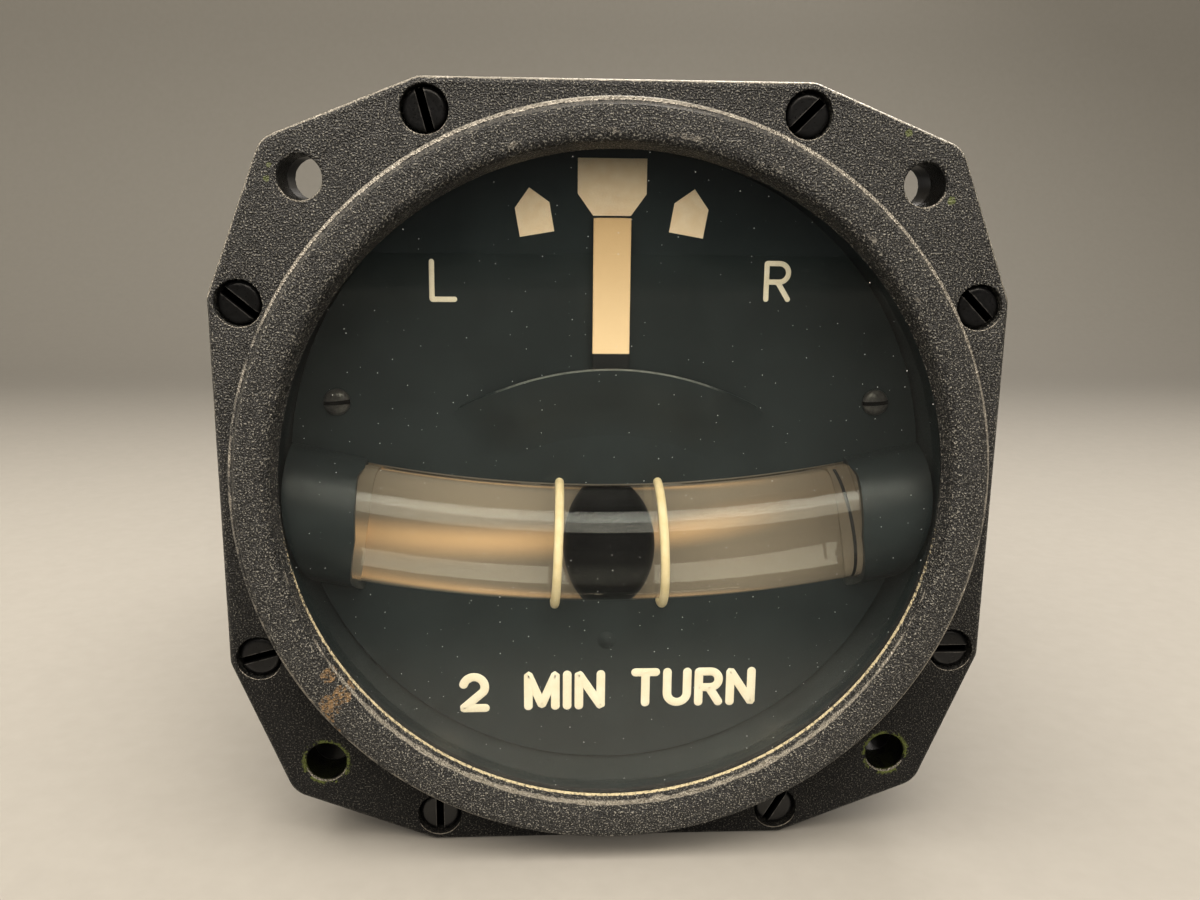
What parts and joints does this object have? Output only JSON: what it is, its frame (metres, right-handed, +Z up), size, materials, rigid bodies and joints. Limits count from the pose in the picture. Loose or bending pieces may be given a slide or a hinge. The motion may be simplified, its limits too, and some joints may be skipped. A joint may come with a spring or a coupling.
{
  "type": "aircraft turn and slip indicator",
  "caption": "Panel-mounted flight instrument: a gyro-driven needle shows the rate of turn and a ball in a curved liquid-filled tube shows slip.",
  "frame": {"origin": "centre of the four panel mounting holes, on the flange's front face", "axes": "+X to the right of the face, +Y back through the panel to the connector, +Z up; the face looks along -Y"},
  "size_m": [0.0826, 0.1355, 0.0826],
  "materials": {
    "bezel_paint": "black wrinkle enamel on cast aluminium",
    "case_paint": "satin black enamel on aluminium",
    "blackened_steel": "black oxide",
    "plated_steel": "zinc plated",
    "steel": "ground",
    "cover_glass": "clear, polished",
    "black_rubber": "moulded",
    "dial_black": "matte black enamel",
    "mark_paint": "aged cream lume paint",
    "pointer_paint": "aged cream lume paint over black",
    "ivory_paint": "ivory enamel",
    "cream_paint": "matte cream enamel",
    "tube_glass": "clear, slightly milky",
    "black_ball": "polished",
    "brass": "turned",
    "bronze": "sintered",
    "copper": "turned",
    "aluminium": "machined",
    "iron": "varnished laminations",
    "phenolic": "moulded",
    "carbon": "pressed",
    "connector_alloy": "olive drab passivated",
    "insert_black": "moulded",
    "lead_cover": "extruded"
  },
  "bodies": {
    "case": {"bezel": "bezel_paint", "instrument_case": "case_paint", "rear_cover": "case_paint", "bezel_screws": "blackened_steel", "dial_screws": "blackened_steel", "frame_screws": "plated_steel", "rear_cover_screws": "plated_steel", "connector_screws": "plated_steel", "frame_posts": "steel", "travel_stops": "steel", "centering_spring": "steel", "cover_glass": "cover_glass", "glass_gasket": "black_rubber", "rear_gasket": "black_rubber", "dial_plate": "dial_black", "spacer_ring": "dial_black", "tube_end_covers": "dial_black", "dial_markings": "mark_paint", "index_wires": "ivory_paint", "tube_cradle": "cream_paint", "inclinometer_tube": "tube_glass", "tube_plugs": "tube_glass", "spring_adjuster": "brass", "connector_pins": "brass", "pointer_bushes": "bronze", "gimbal_bearings": "bronze", "dial_posts": "aluminium", "pointer_bridge": "aluminium", "front_plate": "aluminium", "rear_plate": "aluminium", "damper_cylinder": "aluminium", "damper_cap": "aluminium", "terminal_block": "phenolic", "connector_shell": "connector_alloy", "connector_insert": "insert_black", "connector_leads": "lead_cover"},
    "gimbal": {"gimbal_frame": "aluminium", "gimbal_pivots": "steel", "drive_pin": "steel", "damper_pin": "steel", "spring_pin": "steel", "rotor_bearings": "bronze", "motor_yoke": "iron", "field_magnets": "iron", "brush_plate": "phenolic", "brushes": "carbon"},
    "rotor": {"rotor_shaft": "steel", "rotor_flywheel": "brass", "armature_core": "iron", "commutator": "copper", "governor": "brass"},
    "pointer": {"turn_pointer": "pointer_paint", "pointer_staff": "steel", "pointer_fork": "brass", "pointer_counterweight": "brass"},
    "ball": {"inclinometer_ball": "black_ball"},
    "damper": {"damper_piston": "aluminium"}
  },
  "joints": [
    {"name": "gimbal_tilt", "type": "hinge", "parent": "case", "child": "gimbal", "pos_m": [0, 0.06255, 0], "axis": [0, 1, 0], "range_deg": [-20, 20], "stiffness_Nm_per_rad": 0.12, "deforming": ["centering_spring"]},
    {"name": "rotor_spin", "type": "hinge", "parent": "gimbal", "child": "rotor", "pos_m": [0, 0.06255, 0], "axis": [1, 0, 0], "continuous": true},
    {"name": "pointer_swing", "type": "hinge", "parent": "case", "child": "pointer", "pos_m": [0, 0.0185, -0.0206], "axis": [0, 1, 0], "range_deg": [-17, 17]},
    {"name": "slip_ball", "type": "hinge", "parent": "case", "child": "ball", "pos_m": [0, 0.00875, 0.1393], "axis": [0, 1, 0], "range_deg": [-9, 9]},
    {"name": "damper_slide", "type": "slide", "parent": "case", "child": "damper", "axis": [0, 0, 1], "range_m": [-0.0042, 0.0042]}
  ],
  "couplings": [
    {"joint": "pointer_swing", "follows": "gimbal_tilt", "ratio": -0.845},
    {"joint": "damper_slide", "follows": "gimbal_tilt", "m_per_rad": 0.012}
  ]
}
